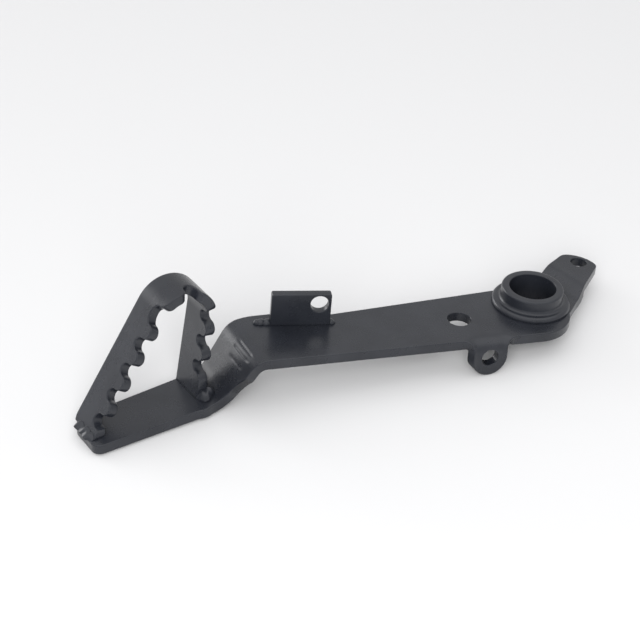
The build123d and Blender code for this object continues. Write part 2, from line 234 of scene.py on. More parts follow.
class PedalBeads(bpy.types.PropertyGroup):
    """Sizes of the weld beads."""

    size: length("Size", "Height of a bead", 2.3)
    tip_start: length("Tip start", "Tip bead from the strip's far edge", 3.0)
    tip_growth: amount("Tip growth", "Size of the tip bead as a multiple of that height", 0.98)
    heel_lap: length("Heel lap", "How far the heel bead runs along the leg", 5.5)
    heel_growth: amount("Heel growth", "Size of the heel bead as a multiple of that height", 1.6)
    sunk: length("Sunk", "How far the heel bead's seam lies inside the leg", 0.2)
    tab_run: length("Tab run", "How far the tab's longer bead runs on", 4.0)
    tab_height: share("Tab height", "Height of the tab's beads as a share of a bead", 0.85)
    tab_ripple: share("Tab ripple", "Depth of the ripples on the tab's beads as a share of them", 0.18)
    tab_bow: length("Tab bow", "How far a ripple bows over the tab's beads", 0.4)
    taper: share("Taper", "Length of a tapering end as a share of the bead's length", 0.22)
    least: share("Least", "Size that is left at a tapering end", 0.05)
    corner: share("Corner", "Where a bead's run is measured round a corner, as a share of it", 0.6)
    ripple: share("Ripple", "Depth of the ripples as a share of the bead", 0.09)
    ripple_pitch: length("Ripple pitch", "From ripple to ripple", 2.4)
    ripple_level: share("Ripple level", "Level about which a ripple swings", 0.6)
    bow: share("Bow", "How strongly a ripple's crest curves back at its sides", 0.9)
    lumps: share("Lumps", "Unevenness of a bead as a share of it", 0.09)
    long_lump: length("Long lump", "From lump to lump in the slower wave", 6.7)
    short_lump: length("Short lump", "From lump to lump in the faster wave", 4.1)


class PedalPaint(bpy.types.PropertyGroup):
    """Look of the black paint."""

    deep: colour("Deep", "Darkest tone of the paint", (0.0115, 0.013, 0.0175))
    pale: colour("Pale", "Palest tone of the paint", (0.018, 0.020, 0.0255))
    dust: colour("Dust", "Tone of the fine dust on the paint", (0.16, 0.16, 0.16))
    smooth: share("Smooth", "Roughness where the paint flowed out best", 0.25)
    rough: share("Rough", "Roughness where it is dullest", 0.31)
    peel: share("Peel", "Strength of the paint's fine waviness", 0.02)


class PedalStage(bpy.types.PropertyGroup):
    """Floor, light and camera."""

    floor: colour("Floor", "Tone of the floor", (0.635, 0.635, 0.637))
    floor_height: length("Floor height", "Height of the floor under the pivot", -11.149)
    floor_x: amount("Floor slope X", "Rise of the floor along X on which the pedal lies", 0.08875)
    floor_y: amount("Floor slope Y", "Rise of the floor along Y on which the pedal lies", 0.05152)
    sky: colour("Surround", "Tone of the surround", (0.93, 0.93, 0.94))
    surround: amount("Surround strength", "Brightness of the surround", 0.75)
    bright: amount("Bright side", "Brightness of the surround's bright side", 5.0)
    bright_side: direction("Bright direction", "Where the bright side lies", (-0.58, 0.79, 0.2))
    bright_from: amount("Bright from", "Cosine off that direction at which the brightness starts", 0.945)
    bright_to: amount("Bright to", "Cosine off that direction at which it is full", 0.99)
    over: amount("Overhead", "Brightness that the surround gains overhead", 0.75)
    over_from: amount("Overhead from", "Cosine off the upright at which that starts", 0.60)
    over_to: amount("Overhead to", "Cosine off the upright at which it is full", 0.88)
    middle: place("Middle", "Point at which both lights are aimed", (-70.0, 0.0, 0.0))
    front_light: amount("Front light", "Power of the broad light behind the camera, in watts", 9.5)
    front_size: length("Front size", "Side of that light", 700.0)
    front_rise: length("Front rise", "How far it stands from the middle, square to the floor", 480.0)
    front_place: place("Front place", "How far it is moved aside from there", (-350.0, -800.0, 0.0))
    left_light: amount("Left light", "Power of the soft light at the back on the left, in watts", 1.0)
    left_size: length("Left size", "Side of that light", 600.0)
    left_place: place("Left place", "Where it stands from the middle", (-750.0, 550.0, 450.0))
    eye: place("Eye", "Place of the camera", (-283.7, -523.1, 366.4))
    look: direction("Look", "Direction of the camera's axis", (0.2968, 0.7844, -0.5446))
    up: direction("Up", "Upward direction of the picture", (0.1105, 0.5383, 0.8355))
    lens: bpy.props.FloatProperty(
        name="Lens", description="Focal length on a 36 mm sensor", default=101.25, unit="CAMERA"
    )


def unit(vectors):
    """The same directions at length 1."""
    return vectors / np.maximum(np.linalg.norm(vectors, axis=-1, keepdims=True), 1e-12)


def left_of(ahead):
    """Directions in the plane turned left by a right angle."""
    return np.stack([-ahead[..., 1], ahead[..., 0]], -1)


def into_loop(loop):
    """Directions from a closed line's points into it: from neighbour to neighbour, turned left."""
    return left_of(unit(np.roll(loop, -1, 0) - np.roll(loop, 1, 0)))


def smooth_step(t):
    """A soft rise from 0 to 1: three times the square less twice the cube, held at both ends."""
    t = np.clip(t, 0, 1)
    return t**2 * (3 - 2 * t)


def arc_points(centre, radius, start, end, count):
    """Points of an arc from one direction to another."""
    turn = np.linspace(start, end, count)
    return np.asarray(centre) + radius * np.stack([np.cos(turn), np.sin(turn)], -1)


def rounded_line(corners, radii):
    """A closed line of straight runs whose corners are arcs.

    At each corner the arc's centre lies on the halving line, the radius over the sine of half the
    corner away, and the arc turns evenly from one run's foot point to the other's.
    """
    corners = np.asarray(corners, float)
    radii = np.asarray(radii, float)[:, None]
    back = unit(np.roll(corners, 1, 0) - corners)
    ahead = unit(np.roll(corners, -1, 0) - corners)
    half = np.arccos(np.clip((back * ahead).sum(1, keepdims=True), -1, 1)) / 2
    centre = corners + unit(back + ahead) * radii / np.sin(half)
    reach = radii / np.tan(half)
    start = corners + back * reach - centre
    end = corners + ahead * reach - centre
    turn = (np.pi - 2 * half)[:, :, None]
    t = np.linspace(0, 1, CORNER_POINTS)[None, :, None]
    arc = (np.sin((1 - t) * turn) * start[:, None] + np.sin(t * turn) * end[:, None]) / np.sin(turn)
    return (centre[:, None] + arc).reshape(-1, 2)


def even_steps(line, count):
    """A closed line cut anew into so many points at even distances."""
    closed = np.vstack([line, line[:1]])
    run = np.concatenate([[0], np.cumsum(np.linalg.norm(np.diff(closed, axis=0), axis=1))])
    at = np.linspace(0, run[-1], count, endpoint=False)
    return np.stack([np.interp(at, run, closed[:, 0]), np.interp(at, run, closed[:, 1])], -1)


def ring_faces(rings, around, closed):
    """Corner numbers of the four-sided faces between rings of points.

    Face (i, j) has the corners (i, j), (i + 1, j), (i + 1, j + 1) and (i, j + 1). A ring counts on from
    its last point to its first, and closed rings from the last ring to the first.
    """
    i, j = np.meshgrid(np.arange(rings if closed else rings - 1), np.arange(around), indexing="ij")
    down = (i + 1) % rings
    right = (j + 1) % around
    corners = [i * around + j, down * around + j, down * around + right, i * around + right]
    return np.stack(corners, -1).reshape(-1, 4)


def ring_piece(name, skins, nodes, finish, closed=False):
    """A piece of closed skins, each over rings of points that lie one after another along a path.

    A skin is an array of rings, points of a ring and coordinates, and all skins have the same counts.
    The first and last ring get a lid each, or are joined to each other.
    """
    count, around = skins[0].shape[:2]
    ring = np.arange(around)
    faces = []
    for start in np.arange(len(skins)) * count * around:
        faces += (ring_faces(count, around, closed) + start).tolist()
        if not closed:
            faces += [(ring + start).tolist(), (ring[::-1] + start + (count - 1) * around).tolist()]
    return finish_piece(name, np.concatenate(skins).reshape(-1, 3), faces, nodes, finish)


def finish_piece(name, points, faces, nodes, finish):
    """Make a piece in place of its node: normals outward, smooth faces, its own finish."""
    mesh = bpy.data.meshes.new(name)
    mesh.from_pydata(points, [], faces)
    shape = bmesh.new()
    shape.from_mesh(mesh)
    bmesh.ops.recalc_face_normals(shape, faces=shape.faces)
    shape.to_mesh(mesh)
    shape.free()
    mesh.shade_smooth()
    piece = bpy.data.objects.new(name, mesh)
    bpy.context.scene.collection.objects.link(piece)
    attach(piece, "root")
    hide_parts(*nodes)
    mesh.materials.append(finish)
    return piece


def paint(name, look, peel=1.0, grain=900.0, dull=0.0):
    """Black paint: two tones in soft clouds, fine dust, uneven gloss and a faint waviness.

    The tones follow large noise, the dust small bright grains of fine noise, the roughness medium
    noise between its two bounds, and the bump the sum of a fine grain and a longer wave.
    """
    material = bpy.data.materials.new(name)
    material.use_nodes = True
    tree = material.node_tree
    shader = tree.nodes["Principled BSDF"]
    shader.inputs["IOR"].default_value = 1.5
    shader.inputs["Metallic"].default_value = 0.0
    where = tree.nodes.new("ShaderNodeTexCoord")

    def made(kind, **values):
        """A node of a kind with values on its sockets, whose names have _ for a space."""
        node = tree.nodes.new(kind)
        for socket, value in values.items():
            node.inputs[socket.replace("_", " ")].default_value = value
        return node

    def noise(scale, detail, rough):
        """Noise of a size per metre on the piece's own coordinates."""
        node = made("ShaderNodeTexNoise", Scale=scale, Detail=detail, Roughness=rough)
        tree.links.new(where.outputs["Object"], node.inputs["Vector"])
        return node.outputs["Fac"]

    def spread(source, low, high, to_low, to_high):
        """Stretch a range of noise to another range, held at its ends."""
        node = made("ShaderNodeMapRange", From_Min=low, From_Max=high, To_Min=to_low, To_Max=to_high)
        tree.links.new(source, node.inputs["Value"])
        return node.outputs["Result"]

    def blend(factor, first, second):
        """Mix two colours, the first a plain colour or another mix."""
        node = tree.nodes.new("ShaderNodeMix")
        node.data_type = "RGBA"
        tree.links.new(factor, node.inputs[0])
        if isinstance(first, bpy.types.NodeSocket):
            tree.links.new(first, node.inputs[6])
        else:
            node.inputs[6].default_value = (*first, 1.0)
        node.inputs[7].default_value = (*second, 1.0)
        return node.outputs[2]

    def waviness(source, height):
        """A bump of a height in metres."""
        node = made("ShaderNodeBump", Strength=look.peel * peel, Distance=height)
        tree.links.new(source, node.inputs["Height"])
        return node

    clouds = spread(noise(55.0, 4.0, 0.55), 0.35, 0.65, 0.0, 1.0)
    specks = spread(noise(2600.0, 2.0, 0.5), 0.70, 0.80, 0.0, 0.35)
    dusty = blend(specks, blend(clouds, look.deep, look.pale), look.dust)
    gloss = spread(noise(140.0, 5.0, 0.6), 0.32, 0.68, look.smooth + dull, look.rough + dull)
    fine = waviness(noise(grain, 3.0, 0.5), 0.0004)
    wave = waviness(noise(grain / 5, 2.0, 0.5), 0.002)
    tree.links.new(dusty, shader.inputs["Base Color"])
    tree.links.new(gloss, shader.inputs["Roughness"])
    tree.links.new(fine.outputs["Normal"], wave.inputs["Normal"])
    tree.links.new(wave.outputs["Normal"], shader.inputs["Normal"])
    return material


def bent_height(run, corners, slopes, radii):
    """Height of a line of straight runs with rounded corners, over a distance.

    The straight runs are met in order of the distance. At a corner an arc touches both runs: its
    height is that of its centre plus or minus the root of the radius squared less the distance to the
    centre squared.
    """
    height = corners[0][1] + (run - corners[0][0]) * np.tan(slopes[0])
    for (x, z), before, after, radius in zip(corners, slopes[:-1], slopes[1:], radii):
        height = np.where(run > x, z + (run - x) * np.tan(after), height)
        side = np.sign(after - before)
        reach = radius * np.tan(abs(after - before) / 2)
        centre = x - reach * np.cos(before) - side * radius * np.sin(before)
        level = z - reach * np.sin(before) + side * radius * np.cos(before)
        inside = (run > x - reach * np.cos(before)) & (run < x + reach * np.cos(after))
        arc = level - side * np.sqrt(np.maximum(radius**2 - (run - centre) ** 2, 0))
        height = np.where(inside, arc, height)
    return height


def ear_bend(plate):
    """Section of the ear's bend: lengths along it, and how far out and down each of them lies.

    The sheet turns from level to upright by a quarter turn times the smooth step of the length, so its
    curve grows and fades softly. Out and down are the sums of the turn's cosine and sine.
    """
    past, step = np.linspace(0, LONGEST_EAR, 601, retstep=True)
    turn = np.pi / 2 * smooth_step(past / plate.ear_bend)
    between = turn[1:] / 2 + turn[:-1] / 2
    reach = np.concatenate([[0], np.cumsum(np.cos(between))]) * step
    sink = np.concatenate([[0], np.cumsum(np.sin(between))]) * step
    return past, reach, sink


def plate_top(plate, tread, plan, mark):
    """Points of the plate's upper face over its flat outline.

    The height is the jog's, a line of foot, slope and arm over the distance across its bend lines,
    plus the tail's joggle over the distance across its own. Beyond a line that swings clear of the
    near edge on both sides of the ear, the sheet follows the ear's bend and then hangs straight. A press
    mark is a hollow whose section is a bell curve, run out softly at its ends.
    """
    x, y = plan[..., 0], plan[..., 1]
    ahead = (x - tread.jog) * np.cos(tread.skew) + y * np.sin(tread.skew)
    fall = np.tan(tread.pitch)
    rise = np.tan(plate.slope)
    foot = (tread.drop - fall * tread.drop + rise * plate.slope_start) / (fall - rise)
    corners = [(foot, rise * (foot + plate.slope_start)), (-plate.slope_start, 0.0)]
    z = bent_height(ahead, corners, [tread.pitch, plate.slope, 0.0], [plate.lower_bend, plate.upper_bend])
    for line, far, near in np.array(MARKS) / 1000:
        within = smooth_step(np.minimum(far - y, y - near) / plate.mark_fade)
        z = z - mark * within * np.exp(-(((ahead - line) / plate.mark_width) ** 2))
    beyond = x * np.cos(plate.tail_turn) + y * np.sin(plate.tail_turn)
    raised = plate.tail_start + plate.tail_raise / np.tan(plate.tail_slope)
    corners = [(plate.tail_start, 0.0), (raised, plate.tail_raise)]
    z = z + bent_height(beyond, corners, [0.0, plate.tail_slope, 0.0], [plate.tail_bend] * 2)
    past, reach, sink = ear_bend(plate)
    clear = smooth_step(np.abs(x - plate.ear) / plate.ear_width - plate.ear_clear)
    line = plate.ear_face + reach[-1] - reach[-1] * clear
    beyond = np.maximum(line - y, 0)
    y = np.maximum(y, line) - np.interp(beyond, past, reach)
    z = z - np.interp(beyond, past, sink)
    return np.stack([x, y, z], -1)


def plate_skin(plate, tread, plan, inward, depth, tilt, mark=0.0):
    """Points and normals of the plate at a depth under its upper face.

    The face's normal is the cross product of two short steps on it. The depth is taken along the normal,
    and turns to straight down towards the far edge of the jog, which was cut after bending. A tilt of 0
    leaves the normal as it is, a quarter turn lays it level out of the edge, and a half turn points it
    down.
    """
    step = 1e-5
    least_rise = 0.2
    top = plate_top(plate, tread, plan, mark)
    right = plate_top(plate, tread, plan + [step, 0.0], mark) - top
    back = plate_top(plate, tread, plan + [0.0, step], mark) - top
    normal = unit(np.cross(right, back))
    into = unit(inward[..., :1] * right + inward[..., 1:] * back)
    upright = UP / normal[..., 2:].clip(least_rise)
    to_far_edge = np.clip(plan[..., 1:] / plate.cut_blend + 0.5, 0, 1)
    cut = np.where(plan[..., :1] < tread.jog / 2, to_far_edge, 0.0)
    return top - depth * (normal + cut * (upright - normal)), np.cos(tilt) * normal - np.sin(tilt) * into


def bite_line(first, last):
    """The near edge with its round relief: a corner arc, the relief's own arc and another corner arc.

    A corner arc's centre lies its radius off the edge and its radius outside the relief, so it is where
    a parallel of the edge cuts a circle about the relief's middle.
    """
    middle, hollow = np.array(BITE[:2]) / 1000, BITE[2] / 1000
    along = unit(last - first)
    off = left_of(along)
    line, turns = [], []
    for side, radius in ((-1, BITE[3] / 1000), (1, BITE[4] / 1000)):
        lift = (first - middle) @ off + radius
        reach = np.sqrt((hollow + radius) ** 2 - lift**2)
        centre = middle + lift * off + side * reach * along
        down = np.arctan2(*(-off)[::-1])
        to_middle = np.arctan2(*(middle - centre)[::-1])
        swing = (to_middle - down + np.pi) % (2 * np.pi) - np.pi
        line.append(arc_points(centre, radius, down, down + swing, 10)[::-side])
        turns.append(to_middle + np.pi)
    turns[1] -= 2 * np.pi * np.round((turns[1] - turns[0]) / (2 * np.pi))
    bite = arc_points(middle, hollow, turns[0], turns[1], 40)
    return np.concatenate([line[0], bite[1:-1], line[1]])


def plate_loops(plate):
    """The plate's outer line, from the foot's near corner round the pivot end, then its four holes.

    The outer line's corners are rounded, the pivot end is an arc about its own middle, and the ear
    stands off the near edge at the length that it has before it is bent. The relief is let into the near
    edge after the first two corners.
    """
    corner = {name: np.array(spot[:2]) / 1000 for name, spot in CORNERS.items()}
    rounding = {name: spot[2] / 1000 for name, spot in CORNERS.items()}
    first, last = corner["crook"], np.array(NEAR_ROOT) / 1000
    past, reach, sink = ear_bend(plate)
    bend_at = plate.ear_face + reach[-1]
    tip, hole_at = bend_at - np.interp([plate.ear_drop, plate.ear_hole_drop], sink, past)
    half = plate.ear_width / 2
    nearly_half = 0.999 * half
    left, right = plate.ear - half, plate.ear + half
    level = first[1] + (np.array([left, right]) - first[0]) * (last[1] - first[1]) / (last[0] - first[0])
    ear = [(left, level[0]), (left, tip), (right, tip), (right, level[1])]
    middle = np.array(PIVOT_END[:2]) / 1000
    start = np.arctan2(*(last - middle)[::-1])
    end = arc_points(middle, PIVOT_END[2] / 1000, start, np.radians(PIVOT_END[3]), 40)
    tail = arc_points(np.array(TAIL_END[:2]) / 1000, TAIL_END[2] / 1000, *np.radians(TAIL_END[3:5]), 7)
    tail_rounding = np.full(len(tail), SHARP)
    tail_rounding[[0, -1]] = np.array(TAIL_END[5:]) / 1000
    near = ["near_tip", "crook"]
    far = ["far_root", "waist", "shoulder", "heel", "far_tip"]
    points = [*(corner[name] for name in near), *ear, *end, *tail, *(corner[name] for name in far)]
    radii = [rounding[name] for name in near]
    radii += [plate.ear_root, nearly_half, nearly_half, plate.ear_root]
    radii += [SHARP] * len(end) + [*tail_rounding] + [rounding[name] for name in far]
    line = rounded_line(points, radii)
    cut = CORNER_POINTS * len(near)
    loops = [even_steps(np.concatenate([line[:cut], bite_line(first, last), line[cut:]]), PLATE_POINTS)]
    for x, y, radius in [*(np.array(HOLES) / 1000), (plate.ear, hole_at, plate.ear_hole)]:
        loops.append(arc_points((x, y), radius, 2 * np.pi, 0, HOLE_POINTS + 1)[:-1])
    return loops


def inside_loops(points, loops):
    """Which points the loops enclose: an odd count of the loops' lines lies to one side of them."""
    starts = np.concatenate(loops)
    ends = np.concatenate([np.roll(loop, -1, 0) for loop in loops])
    x, y = points[:, :1], points[:, 1:]
    span = (starts[:, 1] > y) != (ends[:, 1] > y)
    rise = np.where(ends[:, 1] == starts[:, 1], 1.0, ends[:, 1] - starts[:, 1])
    crossing = starts[:, 0] + (y - starts[:, 1]) * (ends[:, 0] - starts[:, 0]) / rise
    return (span & (crossing > x)).sum(1) % 2 == 1


def plate_net(plate, loops):
    """Points all over the flat plate: rows set off by half a step, and closer points at the press marks.

    Points off the sheet, or too near to the inner line of its rounded edge, are left out.
    """
    lines = np.concatenate(loops)
    row = NET_STEP * 0.87
    low, high = lines.min(0), lines.max(0)
    x, y = np.meshgrid(np.arange(low[0], high[0], NET_STEP), np.arange(low[1], high[1], row))
    x = x + NET_STEP / 2 * (np.arange(len(x)) % 2)[:, None]
    net = np.stack([x.ravel(), y.ravel()], -1)
    along, across = np.array(CLOSE_NET) / 1000
    x, y = np.meshgrid(np.arange(*along, NET_STEP / 5), np.arange(*across, row))
    close = np.stack([x.ravel(), y.ravel()], -1)
    margin = NET_STEP / 3
    outside = ((net < close.min(0) - margin) | (net > close.max(0) + margin)).any(1)
    net = np.concatenate([net[outside], close])
    net = net[inside_loops(net, loops)]
    gap = np.min(np.linalg.norm(net[:, None] - lines[None, ::2], axis=2), axis=1)
    return net[gap > plate.edge + 0.45 * NET_STEP]


class PEDAL_OT_plate(bpy.types.Operator):
    """Bend the lever plate with its jog, tail and ear"""

    bl_idname = "pedal.plate"
    bl_label = "Lever plate"

    def execute(self, context):
        """Carry a rounded edge along the outline and the holes, and fill both faces between them.

        The edge's section is a quarter circle, the wall and a quarter circle. The faces are filled with
        triangles over the edge's inner lines and over the net of points between them.
        """
        plate, tread = context.scene.pedal_plate, context.scene.pedal_tread
        loops = plate_loops(plate)
        lines = np.concatenate(loops)
        inward = np.concatenate([into_loop(loop) for loop in loops])
        quarter = np.linspace(0, np.pi / 2, 5)
        tilt = np.concatenate([quarter, quarter + np.pi / 2])[:, None, None]
        sink = plate.edge * (1 - np.abs(np.cos(tilt)))
        upper_half = np.arange(len(tilt))[:, None, None] < len(quarter)
        depth = np.where(upper_half, sink, plate.thickness - sink)
        rim = lines + plate.edge * (1 - np.sin(tilt)) * inward
        edges, edge_normals = plate_skin(plate, tread, rim, np.broadcast_to(inward, rim.shape), depth, tilt)

        net = plate_net(plate, loops)
        ones = np.ones_like(net)
        flat = np.zeros((1, 1))
        top, top_normals = plate_skin(plate, tread, net, ones, flat, flat, plate.mark)
        bottom, bottom_normals = plate_skin(plate, tread, net, ones, flat + plate.thickness, flat + np.pi)

        first = np.cumsum([0] + [len(loop) for loop in loops])
        turns = [np.arange(a, b) for a, b in zip(first[:-1], first[1:])]
        pairs = np.concatenate([np.stack([ring, np.roll(ring, -1)], -1) for ring in turns])
        spots = np.concatenate([rim[0], net])
        made = delaunay_2d_cdt((spots * 1000).tolist(), pairs.tolist(), [], FILL_INSIDE, SAME_POINT)
        fill = np.array(made[3])[:, 0][np.array(made[2])]
        holes = [rim[0][ring] for ring in turns[1:]]
        fill = fill[~inside_loops(spots[fill].mean(1), holes)]
        count = len(lines)
        past_rim = (len(tilt) - 1) * count
        upper = np.where(fill < count, fill, fill + past_rim)
        lower = np.where(fill < count, fill + past_rim, fill + past_rim + len(net))[:, ::-1]
        a, b = pairs[None, :, 0], pairs[None, :, 1]
        row = np.arange(len(tilt) - 1)[:, None] * count
        walls = np.stack([a + row, a + row + count, b + row + count, b + row], -1).reshape(-1, 4)
        points = np.concatenate([edges.reshape(-1, 3), top, bottom])
        normals = np.concatenate([edge_normals.reshape(-1, 3), top_normals, bottom_normals])
        faces = walls.tolist() + upper.tolist() + lower.tolist()
        finish = paint("plate_paint", context.scene.pedal_paint)
        piece = finish_piece("lever_plate_bent", points, faces, ["lever_plate"], finish)
        piece.data.normals_split_custom_set_from_vertices(normals)
        return {"FINISHED"}


class PEDAL_OT_tube(bpy.types.Operator):
    """Turn the pivot tube with its collar"""

    bl_idname = "pedal.tube"
    bl_label = "Pivot tube"

    def execute(self, context):
        """Carry the wall's section round the pivot axis: the point (radius, height) turns in a circle."""
        sizes = context.scene.pedal_tube
        corners = [
            (sizes.bore, sizes.bottom),
            (sizes.radius, sizes.bottom),
            (sizes.radius, 0.0),
            (sizes.collar, 0.0),
            (sizes.collar, sizes.collar_height),
            (sizes.radius, sizes.collar_height),
            (sizes.radius, sizes.top),
            (sizes.bore, sizes.top),
        ]
        # Rounding of these corners in the same order, as multiples of the rims' rounding
        rounding = np.array([0.5, 1.0, 0.125, 0.25, 1.9, 1.7, 1.0, 0.5])
        radius, height = rounded_line(corners, sizes.edge * rounding).T
        turn = np.linspace(0, 2 * np.pi, TUBE_POINTS, endpoint=False)[:, None]
        rings = np.stack(np.broadcast_arrays(radius * np.cos(turn), radius * np.sin(turn), height), -1)
        finish = paint("tube_paint", context.scene.pedal_paint, dull=0.02)
        ring_piece("pivot_tube_turned", [rings], ["pivot_tube"], finish, closed=True)
        return {"FINISHED"}


def tab_axes(sizes):
    """Directions along the tab and back through it."""
    ahead = np.array([np.cos(sizes.turn), np.sin(sizes.turn), 0.0])
    return ahead, np.cross(UP, ahead)


class PEDAL_OT_tab(bpy.types.Operator):
    """Make the drilled tab with rounded edges"""

    bl_idname = "pedal.tab"
    bl_label = "Tab"

    def execute(self, context):
        """Join the hole to the outline: each outline point has its hole point in line with the centre.

        A ring runs from the hole's wall over the near face, the outer edge and the far face back to
        the hole, with a quarter of a circle at each of its four corners.
        """
        sizes = context.scene.pedal_tab
        half = sizes.width / 2
        corners = [(-half, 0.0), (half, 0.0), (half, sizes.height), (-half, sizes.height)]
        line = rounded_line(corners, [sizes.edge, sizes.edge, sizes.corner, sizes.corner])
        outline = even_steps(line, TAB_POINTS)
        hole = np.array([half - sizes.hole_side, sizes.height - sizes.hole_top])
        bend = np.linspace(0, np.pi / 2, 6)
        rise = sizes.edge * (1 - np.sin(bend))
        dip = sizes.edge * (1 - np.cos(bend))
        at_hole = hole + (sizes.hole + rise[::-1, None, None]) * unit(outline - hole)
        at_edge = outline + rise[:, None, None] * into_loop(outline)
        flat = TAB_LINES[:, None, None]
        face = at_hole[-1] * (1 - flat) + at_edge[0] * flat
        near = np.concatenate([at_hole, face, at_edge])
        near_depth = np.concatenate([dip[::-1], np.zeros(len(flat)), dip])
        across = np.concatenate([near, near[::-1]])
        depth = np.concatenate([near_depth, sizes.thickness - near_depth[::-1]])[:, None, None]
        ahead, back = tab_axes(sizes)
        points = np.array(sizes.place) + across[..., :1] * ahead + across[..., 1:] * UP + depth * back
        finish = paint("tab_paint", context.scene.pedal_paint)
        ring_piece("tab_painted", [points.transpose(1, 0, 2)], ["tab"], finish, closed=True)
        return {"FINISHED"}


def tread_axes(sizes):
    """Place and directions of the tread: along the far edge, across to the far side, off the foot.

    The foot's plane is the arm's, turned by the jog's skew and tipped by the foot's pitch, and its
    height under the far edge follows from the distance ahead of the jog.
    """
    turn, skew, pitch = sizes.far_turn, sizes.skew, sizes.pitch
    x = sizes.heel[0] - sizes.from_heel * np.cos(turn)
    y = sizes.heel[1] - sizes.from_heel * np.sin(turn)
    ahead = (x - sizes.jog) * np.cos(skew) + y * np.sin(skew) + sizes.drop
    origin = np.array([x, y, np.tan(pitch) * ahead - sizes.drop])
    down_foot = np.array([np.cos(skew) * np.cos(pitch), np.sin(skew) * np.cos(pitch), np.sin(pitch)])
    over_foot = np.array([-np.sin(skew), np.cos(skew), 0.0])
    along = np.cos(turn - skew) * down_foot + np.sin(turn - skew) * over_foot
    across = np.cos(turn - skew) * over_foot - np.sin(turn - skew) * down_foot
    return origin, along, across, np.cross(down_foot, over_foot)


def tread_path(sizes):
    """The strip's middle line: tip leg's foot and length, the bend's radius and turn, whole length.

    The two legs' lines cross at a peak, and the bend touches both, its radius times the tangent of
    half its turn short of that peak.
    """
    half = sizes.thickness / 2
    radius = sizes.bend - half
    tip_foot = half / np.sin(sizes.tip_leg) - sizes.span
    heel_foot = half / np.sin(sizes.heel_leg)
    tip_rise, heel_rise = np.tan(sizes.tip_leg), np.tan(sizes.heel_leg)
    peak = (heel_rise * heel_foot - tip_rise * tip_foot) / (heel_rise - tip_rise)
    turn = np.pi - sizes.heel_leg + sizes.tip_leg
    short = radius * np.tan(turn / 2)
    tip_leg = (peak - tip_foot) / np.cos(sizes.tip_leg) - short
    heel_leg = (peak - heel_foot) / np.cos(sizes.heel_leg) - short
    return tip_foot, tip_leg, radius, turn, tip_leg + radius * turn + heel_leg


def on_tread(sizes, run, over, out):
    """Points of the strip from the distance along it, the place across it and the height off its middle.

    The direction turns evenly over the bend. The middle line is the tip leg's run, then a circle
    about the bend's centre, then the heel leg's run. Both ends are cut slanting, in the foot's face.
    """
    tip_foot, tip_leg, radius, turn, whole = tread_path(sizes)
    heel_turn = sizes.tip_leg - turn
    slant = np.clip(1 - run / sizes.tip_slant, 0, 1) / np.tan(sizes.tip_leg)
    slant = slant + np.clip(1 - (whole - run) / sizes.heel_slant, 0, 1) / np.tan(heel_turn)
    run = run - out * slant
    bent = np.clip((run - tip_leg) / radius, 0, turn)
    heading = sizes.tip_leg - bent
    before = np.minimum(run, tip_leg)
    after = np.maximum(run - tip_leg - radius * turn, 0)
    swing_x = radius * (np.sin(sizes.tip_leg) - np.sin(heading))
    swing_y = radius * (np.cos(heading) - np.cos(sizes.tip_leg))
    x = before * np.cos(sizes.tip_leg) + swing_x + after * np.cos(heel_turn) - out * np.sin(heading)
    y = before * np.sin(sizes.tip_leg) + swing_y + after * np.sin(heel_turn) + out * np.cos(heading)
    origin, along, across, off = tread_axes(sizes)
    return origin + (tip_foot + x)[..., None] * along + over[..., None] * across + y[..., None] * off


def toothed_edge(sizes):
    """Near edge of the strip: distance along it, depth of the cut, and an even distance for the far edge.

    A notch is a half circle between two quarter circles that round the teeth beside it, and straight
    runs join the notches: even rows on both legs and one notch about half way between them. The last
    notch of the tip leg is stretched towards the bend.
    """
    whole = tread_path(sizes)[-1]
    tip_row = sizes.tip_first + sizes.pitch_of_teeth * np.arange(sizes.tip_notches)
    heel_row = whole - sizes.heel_first - sizes.pitch_of_teeth * np.arange(sizes.heel_notches)[::-1]
    top = (tip_row[-1] + heel_row[0]) / 2 + sizes.top_shift
    centres = np.concatenate([tip_row, [top], heel_row])
    reach = sizes.notch + sizes.tooth
    start = np.arcsin((reach - sizes.notch_share * sizes.pitch_of_teeth) / sizes.tooth)
    quarter = np.linspace(start, np.pi / 2, 14)
    bottom = np.linspace(0, np.pi, 25)[1:-1]
    flank = -reach + sizes.tooth * np.sin(quarter)
    rise = sizes.tooth * (1 - np.cos(quarter))
    x = np.concatenate([flank, -sizes.notch * np.cos(bottom), -flank[::-1]])
    depth = np.concatenate([rise, sizes.tooth + sizes.notch * np.sin(bottom), rise[::-1]])
    wider = np.where(centres == tip_row[-1], sizes.last_wider, 0.0)[:, None]
    cuts = centres[:, None] + x + wider * np.clip(x / sizes.notch / 2 + 0.5, 0, 1)
    even = cuts[:, :1] + (cuts[:, -1:] - cuts[:, :1]) * np.linspace(0, 1, len(x))
    begin = np.concatenate([[0], cuts[:, -1]])
    end = np.concatenate([cuts[:, 0], [whole]])
    runs = begin[:, None] + (end - begin)[:, None] * np.linspace(0, 1, 14)[1:-1]
    level = np.full_like(runs, depth[0])
    deep = np.tile(depth, (len(centres), 1))
    near, cut, far = (
        np.concatenate([[first], np.concatenate([line[:-1], teeth], 1).ravel(), line[-1], [last]])
        for first, line, teeth, last in (
            (0.0, runs, cuts, whole),
            (depth[0], level, deep, depth[0]),
            (0.0, runs, even, whole),
        )
    )
    gone = np.concatenate([[0], np.cumsum(np.hypot(np.diff(near), np.diff(cut)))])
    keep = np.diff(np.floor(gone / TOOTH_STEP), prepend=-1) > 0
    keep[-1] = True
    return near[keep], cut[keep], far[keep]


